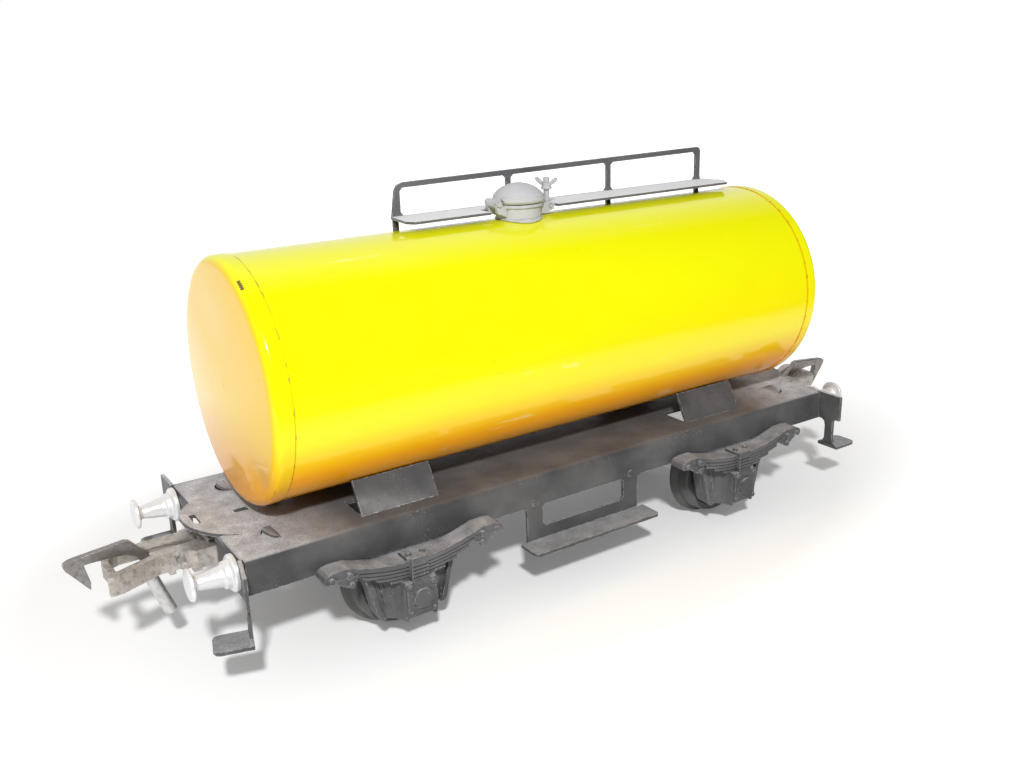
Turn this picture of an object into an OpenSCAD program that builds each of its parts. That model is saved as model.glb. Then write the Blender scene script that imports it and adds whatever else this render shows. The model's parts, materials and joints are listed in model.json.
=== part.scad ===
// Tinplate model tank wagon, two axles, 16.5 mm gauge.
// Frame: X along the wagon, Y across it, Z up; origin at the centre,
// Z = 0 is the surface the wheels stand on. Millimetres throughout.

/* [Pressed chassis] */
// half length of the deck to the outer faces of the end beams
deck_hl = 42; // [40:0.5:46]
// half width of the deck over the solebars
deck_hw = 12; // [11.8:0.1:12.4]
// height of the deck's upper face
deck_z = 14.5; // [14.3:0.1:15.5]
// thickness of the chassis sheet
sheet_t = 0.4; // [0.35:0.05:0.5]
// depth of the solebars below the deck's upper face
sole_d = 3.8; // [3.4:0.1:4.2]
// outer radius of the sheet's folds
fold_r = 0.7; // [0.65:0.05:1]
// half length of the end beams across the wagon
beam_hw = 15.4; // [14.8:0.1:16.4]
// height of the top of the corner foot plates
foot_z = 7.2; // [6:0.1:7.6]
// reach of the corner foot plates beyond the end beams
foot_reach = 3.5; // [3:0.1:4.5]
// width of the corner straps
strap_w = 1.3; // [1:0.1:1.8]
// height of the upper face of the centre footboards
step_z = 6.4; // [5.8:0.1:7.4]
// half length of the footboard's tread
step_hl = 9.2; // [8.8:0.1:11]
// reach of the footboard's tread beyond the solebar
step_reach = 3.2; // [2:0.1:3.4]
// half width of the window between the footboard straps
window_hw = 6.05; // [4.5:0.05:6.5]
// width of each footboard strap
step_strap_w = 2.2; // [1.6:0.1:2.6]
// height of the rail under the footboard window
step_rail_h = 1.55; // [1:0.05:2]
// radius of the round lip over each coupler
lip_r = 6.2; // [5.6:0.1:6.6]
// reach of the lip beyond the end beam
lip_reach = 2; // [1.4:0.1:2.2]
// how far the lip rises above the deck at the wagon's end
lip_rise = 0.45; // [0.2:0.05:0.7]

/* [Tank saddles] */
// inner end of each saddle tab from the wagon's centre
saddle_x0 = 18.5; // [17:0.5:20]
// outer end of each saddle tab
saddle_x1 = 27.8; // [26:0.1:29]
// distance of a saddle tab's root from the centre line
saddle_y = 9.6; // [9.2:0.1:10]
// lean of the saddle tabs towards the tank, degrees
saddle_lean = 30; // [24:1:36]
// gap between a saddle tab's edge and the barrel
saddle_gap = 0.15; // [0.1:0.05:0.3]

/* [Tank] */
// outer radius of the barrel
tank_r = 13.25; // [12.8:0.05:13.6]
// half length of the visible barrel, seam to seam
tank_hl = 35.7; // [33:0.1:37]
// offset of the tank along the wagon
tank_x = 0.3; // [-0.5:0.1:0.5]
// thickness of the tank sheet
tank_t = 0.35; // [0.25:0.05:0.5]
// gap under the barrel above the deck
tank_gap = 1.15; // [1:0.05:1.6]
// length of the end cap's cylindrical skirt
skirt_l = 1; // [0.8:0.1:1.6]
// radius of the end cap's rounded rim
rim_r = 1.1; // [0.8:0.1:2]
// bulge of the end cap inside its rim
dome_h = 0.5; // [0.3:0.1:1]
// step inwards of the barrel's ends, under the caps' skirts
joggle = 0.3; // [0.25:0.05:0.4]
// width of the open line between the barrel and each cap
seam_gap = 0.12; // [0.08:0.02:0.2]

/* [Walkway and railing] */
// left end of the walkway
walk_x0 = -15.2; // [-17:0.1:-13]
// right end of the walkway
walk_x1 = 33.3; // [31:0.1:34.5]
// near edge of the walkway
walk_y0 = -1.3; // [-1.5:0.1:-0.6]
// far edge of the walkway, where the railing stands
walk_y1 = 4.1; // [3.9:0.1:4.6]
// thickness of the walkway sheet
walk_t = 0.3; // [0.25:0.05:0.4]
// gap between the barrel's crown and the walkway
walk_gap = 0.85; // [0.6:0.05:1]
// height of the railing at its left end
rail_h0 = 3.8; // [3:0.1:4]
// height of the railing at its right end
rail_h1 = 4.4; // [3.4:0.1:4.6]
// right end of the railing
rail_x1 = 32.5; // [31.5:0.1:33]
// width of the railing's strip
rail_w = 0.65; // [0.4:0.05:0.8]
// width of the inner posts
post_w = 0.7; // [0.5:0.05:1]

/* [Manhole] */
// centre of the manhole along the wagon
hatch_x = -0.6; // [-1:0.1:-0.2]
// centre of the manhole across the wagon
hatch_y = -0.4; // [-0.6:0.1:-0.1]
// radius of the manhole's neck
neck_r = 2.7; // [2.5:0.05:2.8]
// radius of the lid's rim
lid_r = 3.1; // [3:0.05:3.1]
// gap between the neck and the lid
lid_gap = 0.1; // [0.06:0.02:0.14]
// radius of the lid's hinge pin
lid_pin_r = 0.32; // [0.28:0.02:0.34]
// radial clearance in the manhole's small bores
small_fit = 0.06; // [0.04:0.01:0.08]
// radius of the swing bolt's shank
bolt_r = 0.36; // [0.3:0.02:0.38]

/* [Wheels and axles] */
// half of the wheelbase
half_base = 24; // [23:0.25:24.5]
// radius of the wheels over their flanges, also the height of the axles
flange_r = 6.1; // [5.8:0.05:6.3]
// depth of the flange
flange_d = 0.7; // [0.5:0.05:0.9]
// distance of the wheel backs from the centre line
back_y = 7.1; // [6.9:0.05:7.2]
// width of a wheel over tread and flange
wheel_w = 2.7; // [2.4:0.1:2.8]
// radius of the axle
axle_r = 1; // [0.8:0.05:1.2]
// radius of the axle's journals
journal_r = 0.6; // [0.5:0.05:0.7]
// radial running clearance of the journals
journal_fit = 0.07; // [0.05:0.01:0.1]

/* [Axle guards] */
// half length of the main spring leaf
spring_hl = 10.7; // [10:0.1:11.2]
// rise of the spring from its middle to its ends
spring_sag = 1.4; // [1.1:0.1:1.8]
// height of the main leaf's upper face at the middle
spring_z = 10.4; // [10.2:0.05:10.5]
// pitch of the leaves
leaf_t = 0.42; // [0.38:0.02:0.44]
// thickness of the spring's main leaf
main_t = 0.6; // [0.5:0.05:0.7]
// number of leaves
leaf_n = 5; // [4:1:5]
// half width of the axle box
box_hw = 1.8; // [1.7:0.05:2.1]
// outer face of the axle box from the centre line
box_y = 15.2; // [15:0.1:15.6]
// radius of the axle box cover
cover_r = 1.15; // [0.9:0.05:1.3]

/* [Buffers] */
// half of the buffer spacing
buffer_y = 10; // [9.8:0.1:10.2]
// height of the buffers
buffer_z = 12.7; // [12.6:0.1:12.8]
// radius of the collar at the beam
collar_r = 1.95; // [1.7:0.05:2.1]
// radius of the buffer head
head_r = 1.7; // [1.5:0.05:2]
// radius of the stem
stem_r = 0.7; // [0.6:0.05:0.85]
// length of the buffer from the beam to the head's face
buffer_l = 4.8; // [4:0.1:5.5]

/* [Couplers] */
// distance of the coupler's pivot from the wagon's centre
pivot_x = 34.5; // [34:0.25:35]
// radius of the coupler's pivot rivet
pivot_r = 0.75; // [0.65:0.05:0.85]
// radial running clearance of the pivots
pivot_fit = 0.08; // [0.05:0.01:0.1]
// height of the top of the coupler body
coup_z = 12.7; // [12.5:0.1:12.8]
// height of the coupler's bars
coup_h = 2.1; // [1.9:0.1:2.3]
// front of the coupler's loop from the wagon's centre
loop_x = 52.7; // [51.5:0.1:53.5]
// side reach of the loop
loop_y = 3.9; // [3.4:0.1:4.2]
// side reach of the loop's straight bar
loop_y0 = 2.6; // [2.2:0.1:3]
// thickness of the hook plate
hook_t = 0.8; // [0.7:0.05:0.9]
// side clearance of the hook in its slot
hook_fit = 0.09; // [0.06:0.01:0.12]
// front end of the hook from the wagon's centre
hook_x = 56.1; // [55:0.1:56.5]
// radius of the hook's cross pin
hook_pin_r = 0.45; // [0.4:0.05:0.5]
// radius of the hanging release pin
release_r = 0.7; // [0.6:0.05:0.75]
// height of the release pin's lower end
release_z = 5.1; // [4.6:0.1:6.5]

/* [Hidden] */
sole_z = deck_z - sole_d;
under_z = deck_z - sheet_t;
face_in = deck_hw - sheet_t;
end_in = deck_hl - sheet_t;
tank_z = deck_z + tank_gap + tank_r;
cap_r = tank_r - joggle + tank_t + 0.05;
crown_z = tank_z + tank_r;
plank_z = crown_z + walk_gap;
plank_top = plank_z + walk_t;
axle_z = flange_r;
strap_y = (deck_hw + beam_hw) / 2;
foot_w = 3.3;
lip_x = deck_hl + lip_reach - lip_r;
throat_hw = 5.4;
lip_x0 = deck_hl - 2.6;
lip_tilt = atan(lip_rise / (lip_reach + 2.6));
// length of a saddle tab so that its edge just clears the barrel
sad_bx = saddle_y - cos(saddle_lean) * sheet_t / 2;
sad_bz = deck_z - sheet_t / 2 - sin(saddle_lean) * sheet_t / 2 - tank_z;
sad_dot = -sad_bx * sin(saddle_lean) + sad_bz * cos(saddle_lean);
sad_rr = pow(tank_r + saddle_gap, 2);
saddle_l = -sad_dot - sqrt(sad_dot * sad_dot - sad_bx * sad_bx - sad_bz * sad_bz + sad_rr);
// legs that hold the barrel to the deck
leg_x = 30;
leg_w = 4;
leg_t = 0.4;
// lid and bolt
neck_top = crown_z + 1.75;
lid_z = neck_top + lid_gap;
lid_pin_x = hatch_x - lid_r - 0.35;
lid_pin_z = lid_z + 0.1;
lug_room = 0.7;
bolt_x = hatch_x + lid_r + 1;
bolt_z = crown_z + 1.0;
nut_z = lid_z + 1.1;
bolt_top = nut_z + 1.4;
nut_turn = -60;
// spring
arc_hl = spring_hl - 2.9;
spring_R = (arc_hl * arc_hl + spring_sag * spring_sag) / (2 * spring_sag);
guard_y0 = 10.6;
spring_y0 = deck_hw + 0.3;
spring_y1 = 14.7;
iron_z0 = 3.4;
peg_r = 0.5;
peg_u = 4.6;
peg_z = (sole_z + under_z) / 2 + 0.3;
journal_y = 12.6;
// coupler
coup_z0 = coup_z - coup_h;
block_x0 = deck_hl - 1;
block_x1 = deck_hl + 2.2;
body_x1 = loop_x - 4.8;
head_hw = loop_y0 - 0.1;
hook_px = block_x1 + 0.9;
hook_pz = coup_z - 1.0;
slot_hw = hook_t / 2 + hook_fit;
tail_z0 = coup_z - 0.45;
tail_z1 = coup_z + 0.4;

// an outline in X and Z, given thickness t from y0 on
module xz(y0, t) {
    translate([0, y0 + t, 0])
        rotate([90, 0, 0])
            linear_extrude(t) children();
}

// an outline in Y and Z, given thickness t from x0 on
module yz(x0, t) {
    translate([x0, 0, 0])
        rotate([90, 0, 90])
            linear_extrude(t) children();
}

// a bar along Y between two distances from the centre plane
module ybar(x, z, r, y0, y1, n = 24) {
    translate([x, y1, z])
        rotate([90, 0, 0])
            cylinder(r = r, h = y1 - y0, $fn = n);
}

// a rectangle with its corners cut off at 45 degrees
module cut_rect(x0, y0, x1, y1, c) {
    polygon([[x0 + c, y0], [x1 - c, y0], [x1, y0 + c], [x1, y1 - c],
        [x1 - c, y1], [x0 + c, y1], [x0, y1 - c], [x0, y0 + c]]);
}

// the other end or the other side of the wagon
module flip(sx, sy) {
    mirror([sx < 0 ? 1 : 0, 0, 0])
        mirror([0, sy < 0 ? 1 : 0, 0])
            children();
}

// ---------------------------------------------------------------- chassis
// points of a sheet fold's quarter round about (u, v), from angle a to a + 90
function fold(u, v, r, a, n = 5) = [for (i = [0 : n]) let (b = a + 90 * i / n)
    [u + r * cos(b), v + r * sin(b)]];

// deck and solebars as one folded sheet, in Y and Z
module pan_section() {
    u = deck_hw - fold_r;
    v = deck_z - fold_r;
    r = fold_r - sheet_t;
    polygon(concat([[deck_hw, sole_z]], fold(u, v, fold_r, 0), fold(-u, v, fold_r, 90),
        [[-deck_hw, sole_z], [-face_in, sole_z]],
        [for (i = [5 : -1 : 0]) fold(-u, v, r, 90)[i]],
        [for (i = [5 : -1 : 0]) fold(u, v, r, 0)[i]],
        [[face_in, sole_z]]));
}

// fold between the deck and an end beam, over the width between the solebars
module end_fold() {
    u = deck_hl - fold_r;
    v = deck_z - fold_r;
    xz(-deck_hw + fold_r, 2 * (deck_hw - fold_r))
        polygon(concat(fold(u, v, fold_r, 0), [[u - 0.1, deck_z], [u - 0.1, under_z]],
            [for (i = [5 : -1 : 0]) fold(u, v, fold_r - sheet_t, 0)[i]],
            [[end_in, v - 0.1], [deck_hl, v - 0.1]]));
}

// half of an end beam with its corner strap, y from 0 outwards
module beam_outline() {
    s0 = strap_y - strap_w / 2;
    s1 = strap_y + strap_w / 2;
    f0 = strap_y - foot_w / 2;
    f1 = strap_y + foot_w / 2;
    polygon([[throat_hw - 0.5, deck_z - fold_r], [throat_hw - 0.5, sole_z + 1.2],
        [throat_hw - 0.2, sole_z + 0.4], [throat_hw + 0.4, sole_z],
        [s0 - 0.6, sole_z], [s0 - 0.15, sole_z - 0.25], [s0, sole_z - 0.8],
        [s0, foot_z + 0.9], [s0 - 0.2, foot_z + 0.35], [f0, foot_z],
        [f0, foot_z - sheet_t], [f1, foot_z - sheet_t], [f1, foot_z],
        [s1 + 0.2, foot_z + 0.35], [s1, foot_z + 0.9],
        [s1, sole_z - 0.1], [s1 + 0.25, sole_z + 0.3],
        [beam_hw, sole_z + 0.3], [beam_hw, deck_z],
        [deck_hw - fold_r, deck_z], [deck_hw - fold_r, deck_z - fold_r]]);
}

module foot_plate() {
    f0 = strap_y - foot_w / 2;
    f1 = strap_y + foot_w / 2;
    x1 = deck_hl + foot_reach;
    translate([0, 0, foot_z - sheet_t])
        linear_extrude(sheet_t)
            polygon([[end_in, f0], [x1 - 0.7, f0], [x1 - 0.2, f0 + 0.2],
                [x1, f0 + 0.7], [x1, f1 - 0.7], [x1 - 0.2, f1 - 0.2],
                [x1 - 0.7, f1], [end_in, f1]]);
}

// straps, window and tread of the footboard on the far side
module footboard() {
    o = window_hw + step_strap_w;
    z0 = step_z - sheet_t;
    xz(face_in, sheet_t)
        difference() {
            polygon([[-o, z0], [o, z0], [o, sole_z + 0.3], [-o, sole_z + 0.3]]);
            cut_rect(-window_hw, z0 + sheet_t + step_rail_h, window_hw, sole_z, 0.35);
        }
    for (s = [0, 1])
        mirror([s, 0, 0])
            xz(face_in, sheet_t)
                polygon([[o, sole_z], [o + 0.6, sole_z], [o + 0.15, sole_z - 0.2],
                    [o, sole_z - 0.7]]);
    translate([0, 0, z0])
        linear_extrude(sheet_t)
            polygon([[-o, face_in], [o, face_in], [o, deck_hw], [step_hl, deck_hw],
                [step_hl, deck_hw + step_reach - 0.3],
                [step_hl - 0.3, deck_hw + step_reach],
                [-step_hl + 0.3, deck_hw + step_reach],
                [-step_hl, deck_hw + step_reach - 0.3],
                [-step_hl, deck_hw], [-o, deck_hw]]);
    for (s = [-1, 1])
        ybar(s * (window_hw + step_strap_w / 2), sole_z + 0.45, 0.42,
            deck_hw - 0.1, deck_hw + 0.18, 20);
}

module saddle_tab() {
    translate([saddle_x0, saddle_y, deck_z - sheet_t / 2])
        rotate([saddle_lean, 0, 0])
            translate([0, -sheet_t / 2, -0.05])
                cube([saddle_x1 - saddle_x0, sheet_t, saddle_l + 0.05]);
}

// half-moon tab pressed up out of the deck at its end
module half_moon() {
    translate([deck_hl - 5.5, 7.35, under_z + 0.05])
        rotate([0, -22, 0])
            linear_extrude(sheet_t - 0.1)
                intersection() {
                    circle(r = 1.5, $fn = 28);
                    translate([-0.25, -2])
                        square([2, 4]);
                }
}

module lip() {
    intersection() {
        translate([lip_x0, 0, under_z])
            rotate([0, -lip_tilt, 0])
                translate([lip_x - lip_x0, 0, 0])
                    cylinder(r = lip_r, h = sheet_t, $fn = 64);
        translate([lip_x0 + 0.05, -10, 10])
            cube([8, 20, 8]);
    }
}

module chassis_pan() {
    color("#1d1d20")
    difference() {
        union() {
            difference() {
                yz(-end_in + 0.1, 2 * end_in - 0.2) pan_section();
                for (s = [0, 1])
                    mirror([s, 0, 0])
                        translate([deck_hl - fold_r, -deck_hw + fold_r, deck_z - fold_r - 0.4])
                            cube([5, 2 * (deck_hw - fold_r), 3]);
            }
            for (s = [0, 1])
                mirror([s, 0, 0]) end_fold();
            for (sx = [-1, 1], sy = [-1, 1])
                flip(sx, sy) {
                    yz(end_in, sheet_t) beam_outline();
                    foot_plate();
                    saddle_tab();
                }
            for (sy = [-1, 1])
                flip(1, sy) footboard();
        }
        // openings left in the deck by the saddle tabs
        for (sx = [-1, 1], sy = [-1, 1])
            flip(sx, sy) {
                translate([saddle_x0 + 0.02, saddle_y - sheet_t - saddle_l, under_z - 1])
                    cube([saddle_x1 - saddle_x0 - 0.04, saddle_l, 1 + sheet_t]);
                translate([deck_hl - 5.6, 7.35, under_z - 1])
                    intersection() {
                        cylinder(r = 1.65, h = 3, $fn = 28);
                        translate([0.1, -2, -1])
                            cube([2, 4, 5]);
                    }
                translate([half_base + peg_u, 0, 0])
                    ybar(0, peg_z, peg_r + 0.05, face_in - 1, face_in + sheet_t * 0.6, 20);
                translate([half_base - peg_u, 0, 0])
                    ybar(0, peg_z, peg_r + 0.05, face_in - 1, face_in + sheet_t * 0.6, 20);
            }
        for (s = [0, 1])
            mirror([s, 0, 0]) {
                // clearance under the lip
                translate([0, 0, deck_z - 3])
                    intersection() {
                        translate([lip_x, 0, 0])
                            cylinder(r = lip_r - 0.3, h = 5, $fn = 64);
                        translate([lip_x0 + 0.3, -10, -1])
                            cube([10, 20, 8]);
                    }
                // slot and pivot bore
                translate([deck_hl - 5.1, -0.45, under_z - 1])
                    cube([1.5, 0.9, 3]);
                translate([pivot_x, 0, under_z - 1])
                    cylinder(r = pivot_r + 0.05, h = 3, $fn = 32);
            }
        for (s = [-1, 1])
            translate([tank_x + s * leg_x - leg_w / 2 - 0.2, -leg_t / 2 - 0.15, under_z - 1])
                cube([leg_w + 0.4, leg_t + 0.3, 3]);
        for (sx = [-1, 1], sy = [-1, 1])
            flip(sx, sy)
                translate([end_in - 1, buffer_y, buffer_z])
                    rotate([0, 90, 0])
                        cylinder(r = 0.65, h = 3, $fn = 24);
    }
    color("#1d1d20")
    for (s = [0, 1])
        mirror([s, 0, 0]) {
            difference() {
                lip();
                translate([deck_hl + lip_reach - 1.7, -1.2, 10])
                    cube([0.7, 2.4, 8]);
            }
            for (t = [0, 1])
                mirror([0, t, 0]) half_moon();
        }
}

// ------------------------------------------------------------------- tank
module xtube(r, x0, x1, n) {
    translate([x0, 0, tank_z])
        rotate([0, 90, 0])
            cylinder(r = r, h = x1 - x0, $fn = n);
}

module tank_barrel() {
    b = tank_hl + 0.9;
    r1 = tank_r - joggle;
    color("#f2d200") {
        difference() {
            union() {
                xtube(tank_r, tank_x - tank_hl, tank_x + tank_hl, 96);
                xtube(r1, tank_x - b, tank_x + b, 96);
                for (s = [-1, 1])
                    translate([tank_x + s * leg_x - leg_w / 2, -leg_t / 2, under_z - 0.1])
                        cube([leg_w, leg_t, tank_gap + sheet_t + 0.3]);
            }
            xtube(tank_r - tank_t, tank_x - tank_hl + 0.4, tank_x + tank_hl - 0.4, 96);
            xtube(r1 - tank_t, tank_x - b - 1, tank_x + b + 1, 96);
            translate([hatch_x, hatch_y, tank_z + 5])
                cylinder(r = neck_r - 0.9, h = tank_r, $fn = 40);
            for (i = [0 : 3])
                translate([post_x(i) - post_w / 2 - 0.15, walk_y1 - walk_t - 0.12, tank_z + 5])
                    cube([post_w + 0.3, walk_t + 0.24, tank_r]);
        }
        for (s = [-1, 1])
            translate([tank_x + s * leg_x - leg_w / 2, -leg_t / 2, under_z - 0.5])
                cube([leg_w, 1.6, 0.4]);
    }
}

// meridian of an end cap: [radius, distance from the wagon's centre]
function cap_pts(r, x0, rr, h, n) = concat(
    [[r, x0]],
    [for (i = [0 : n]) let (a = 77.4 * i / n)
        [r - rr + rr * cos(a), x0 + skirt_l + rr * sin(a)]],
    [for (i = [1 : 4]) let (u = 1 - i / 4, v = max(u, 0.25), q = r - rr + rr * cos(77.4))
        [q * u, x0 + skirt_l + rr * sin(77.4) + h * (1 - v * v)]],
    [[0, x0]]);

module tank_cap() {
    x0 = tank_hl + seam_gap;
    inner_r = cap_r - tank_t;
    color("#f0c818")
    rotate([0, 90, 0])
        difference() {
            rotate_extrude($fn = 96)
                polygon(cap_pts(cap_r, x0, rim_r, dome_h, 7));
            translate([0, 0, -tank_t])
                rotate_extrude($fn = 96)
                    polygon(cap_pts(inner_r, x0 - 1, rim_r - tank_t * 0.6, dome_h, 7));
            translate([0, 0, x0 - 1])
                cylinder(r = inner_r, h = 1 + skirt_l - 0.2, $fn = 96);
        }
}

module tank_cap_left() {
    translate([tank_x, 0, tank_z]) mirror([1, 0, 0]) tank_cap();
}

module tank_cap_right() {
    translate([tank_x, 0, tank_z]) tank_cap();
}

// ---------------------------------------------------------------- walkway
function post_x(i) = walk_x0 + 0.5 + i * (rail_x1 - walk_x0 - 1) / 3;
function rail_top(x) = plank_top + rail_h0
    + (rail_h1 - rail_h0) * (x - walk_x0) / (rail_x1 - walk_x0);

module walkway_railing() {
    yp = walk_y1 - walk_t;
    color("#2b2c30") {
        difference() {
            translate([0, 0, plank_z])
                linear_extrude(walk_t)
                    polygon([[walk_x0, walk_y1], [walk_x0 - 0.4, walk_y0 + 0.9],
                        [walk_x0 + 0.3, walk_y0], [walk_x1 - 0.6, walk_y0],
                        [walk_x1 + 0.9, walk_y0 + 2.2], [walk_x1 + 0.2, walk_y1 - 1],
                        [walk_x1, walk_y1]]);
            translate([hatch_x, hatch_y, plank_z - 1])
                cylinder(r = lid_r + 0.35, h = 3, $fn = 48);
            translate([lid_pin_x - 0.9, hatch_y - 5, plank_z - 1])
                cube([bolt_x + 1.1 - lid_pin_x + 0.9, 6.6, 3]);
        }
        xz(yp, walk_t)
            difference() {
                polygon([[walk_x0, plank_z], [rail_x1 + 0.2, plank_z],
                    [rail_x1, plank_top + 0.5], [rail_x1, rail_top(rail_x1) - 0.6],
                    [rail_x1 - 0.15, rail_top(rail_x1) - 0.15],
                    [rail_x1 - 0.6, rail_top(rail_x1)],
                    [walk_x0 + 1.6, rail_top(walk_x0)],
                    [walk_x0 + 0.9, rail_top(walk_x0) - 0.25],
                    [walk_x0 + 0.5, rail_top(walk_x0) - 0.9]]);
                for (i = [0 : 2]) {
                    x0 = post_x(i) + (i == 0 ? 0.7 : post_w / 2);
                    x1 = post_x(i + 1) - post_w / 2;
                    polygon([[x0 + 0.35, plank_top + 0.02], [x1 - 0.35, plank_top + 0.02],
                        [x1, plank_top + 0.45], [x1, rail_top(x1) - rail_w - 0.35],
                        [x1 - 0.35, rail_top(x1) - rail_w],
                        [x0 + 0.35, rail_top(x0) - rail_w],
                        [x0, rail_top(x0) - rail_w - 0.35], [x0, plank_top + 0.45]]);
                }
            }
        // tabs that pass through the barrel under the posts
        for (i = [0 : 3])
            translate([post_x(i) - post_w / 2, yp, tank_z + tank_r - 1.6])
                cube([post_w, walk_t, 1.6 + walk_gap + walk_t / 2]);
    }
}

// ---------------------------------------------------------------- manhole
module manhole_neck() {
    color("#9c9ea2")
    difference() {
        union() {
            translate([hatch_x, hatch_y, crown_z - 1.2])
                cylinder(r = neck_r, h = neck_top - crown_z + 1.2, $fn = 48);
            translate([hatch_x, hatch_y, crown_z - 1.2])
                cylinder(r = neck_r + 0.15, h = 1.3, $fn = 48);
            translate([hatch_x, hatch_y, neck_top - 0.35])
                cylinder(r = neck_r + 0.2, h = 0.35, $fn = 48);
            // hinge lugs
            for (s = [-1, 1])
                translate([0, hatch_y + s * 0.95, 0]) {
                    xz(-0.3, 0.6)
                        polygon([[lid_pin_x - 0.55, lid_pin_z + 0.3],
                            [lid_pin_x - 0.3, lid_pin_z + 0.55],
                            [lid_pin_x + 0.2, lid_pin_z + 0.55],
                            [lid_pin_x + 0.38, lid_pin_z - 0.2],
                            [hatch_x - neck_r + 0.4, neck_top - 0.35],
                            [hatch_x - neck_r + 0.4, crown_z + 0.3],
                            [lid_pin_x - 0.2, crown_z + 0.9]]);
                }
            // lugs that carry the swing bolt
            for (s = [-1, 1])
                translate([0, hatch_y + s * (bolt_r + 0.35), 0])
                    xz(-0.2, 0.4)
                        polygon([[bolt_x + 0.55, bolt_z - 0.4], [bolt_x + 0.6, bolt_z + 0.2],
                            [bolt_x + 0.3, bolt_z + 0.5], [bolt_x - 0.4, bolt_z + 0.5],
                            [hatch_x + neck_r - 0.4, bolt_z + 0.3],
                            [hatch_x + neck_r - 0.4, crown_z + 0.2],
                            [bolt_x - 0.2, crown_z + 0.45]]);
        }
        translate([hatch_x, hatch_y, crown_z - 2])
            cylinder(r = neck_r - 0.8, h = 6, $fn = 40);
        ybar(lid_pin_x, lid_pin_z, lid_pin_r + 0.02, hatch_y - 2, hatch_y + 2, 20);
        ybar(bolt_x, bolt_z, 0.22 + small_fit, hatch_y - 2, hatch_y + 2, 20);
        xtube(tank_r + 0.05, hatch_x - 8, hatch_x + 8, 96);
    }
}

module manhole_lid() {
    color("#b4b6b9")
    difference() {
        union() {
            // two stepped rings under a full dome
            translate([hatch_x, hatch_y, lid_z])
                rotate_extrude($fn = 48)
                    polygon([[0, 0], [lid_r - 0.25, 0], [lid_r, 0.25], [lid_r, 0.55],
                        [lid_r - 0.12, 0.65], [lid_r - 0.1, 0.9], [lid_r - 0.24, 1],
                        [lid_r - 0.5, 1.3], [lid_r - 0.9, 1.6], [lid_r - 1.4, 1.88],
                        [lid_r - 2, 2.1], [lid_r - 2.7, 2.24], [0, 2.24]]);
            // hinge eye between the lugs
            translate([0, hatch_y, 0])
                xz(-0.6, 1.2)
                    polygon([[lid_pin_x - 0.5, lid_pin_z + 0.3], [lid_pin_x - 0.5, lid_pin_z - 0.2],
                        [lid_pin_x - 0.25, lid_pin_z - 0.5], [lid_pin_x + 0.1, lid_pin_z - 0.5],
                        [lid_pin_x + 0.42, lid_z], [hatch_x - lid_r + 0.6, lid_z],
                        [hatch_x - lid_r + 0.6, lid_z + 0.8], [lid_pin_x - 0.2, lid_pin_z + 0.55]]);
        }
        ybar(lid_pin_x, lid_pin_z, lid_pin_r + small_fit, hatch_y - 2, hatch_y + 2, 20);
        // room for the lugs when the lid is open
        for (s = [-1, 1])
            ybar(lid_pin_x, lid_pin_z, lug_room, hatch_y + s * 0.95 - 0.33,
                hatch_y + s * 0.95 + 0.33, 24);
        translate([hatch_x, hatch_y, lid_z - 1])
            cylinder(r = neck_r - 1, h = 1.7, $fn = 40);
    }
}

module lid_hinge_pin() {
    color("#8d8f93")
        ybar(lid_pin_x, lid_pin_z, lid_pin_r, hatch_y - 1.4, hatch_y + 1.4, 20);
}

module lid_swing_bolt() {
    color("#a6a8ab") {
        translate([bolt_x, hatch_y, bolt_z])
            cylinder(r = bolt_r, h = bolt_top - bolt_z, $fn = 20);
        ybar(bolt_x, bolt_z, bolt_r, hatch_y - bolt_r * 0.3, hatch_y + bolt_r * 0.3, 20);
        ybar(bolt_x, bolt_z, 0.22, hatch_y - bolt_r - 0.62, hatch_y + bolt_r + 0.62, 20);
    }
}

module lid_wing_nut() {
    color("#a9abae")
    translate([bolt_x, hatch_y, nut_z])
        difference() {
            union() {
                rotate_extrude($fn = 24)
                    polygon([[0, 0], [0.66, 0], [0.66, 0.25], [0.52, 0.35], [0.52, 0.8], [0, 0.8]]);
                rotate([0, 0, nut_turn])
                    xz(-0.17, 0.34)
                        polygon([[-0.4, 0.35], [0.4, 0.35], [0.95, 0.6], [1.45, 1.1], [1.45, 1.35],
                            [1.15, 1.4], [0.7, 1.05], [0.4, 0.78], [-0.4, 0.78], [-0.7, 1.05],
                            [-1.15, 1.4], [-1.45, 1.35], [-1.45, 1.1], [-0.95, 0.6]]);
            }
            translate([0, 0, -1])
                cylinder(r = bolt_r + small_fit, h = 4, $fn = 20);
        }
}

// ------------------------------------------------------------ axle guards
module leaf(k) {
    l = k == 0 ? arc_hl : spring_hl - 3.2 - 1.5 * (k - 1);
    a = asin(l / spring_R);
    r0 = spring_R + (k == 0 ? 0 : main_t + 0.1 + (k - 1) * leaf_t);
    translate([0, 0, spring_z + spring_R])
        rotate([90, 0, 0])
            rotate([0, 0, -90 - a])
                rotate_extrude(angle = 2 * a, $fn = 240)
                    translate([r0, -spring_y1 + 0.05 * k])
                        square([k == 0 ? main_t : leaf_t - 0.1, spring_y1 - spring_y0 - 0.1 * k]);
}

// dark core that joins the leaves behind their front edges
module leaf_core() {
    a = asin((spring_hl - 4.9) / spring_R);
    translate([0, 0, spring_z + spring_R])
        rotate([90, 0, 0])
            rotate([0, 0, -90 - a])
                rotate_extrude(angle = 2 * a, $fn = 240)
                    translate([spring_R + 0.15, -spring_y1 + 0.35])
                        square([main_t + 2 * leaf_t - 0.3, spring_y1 - spring_y0 - 0.6]);
}

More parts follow.
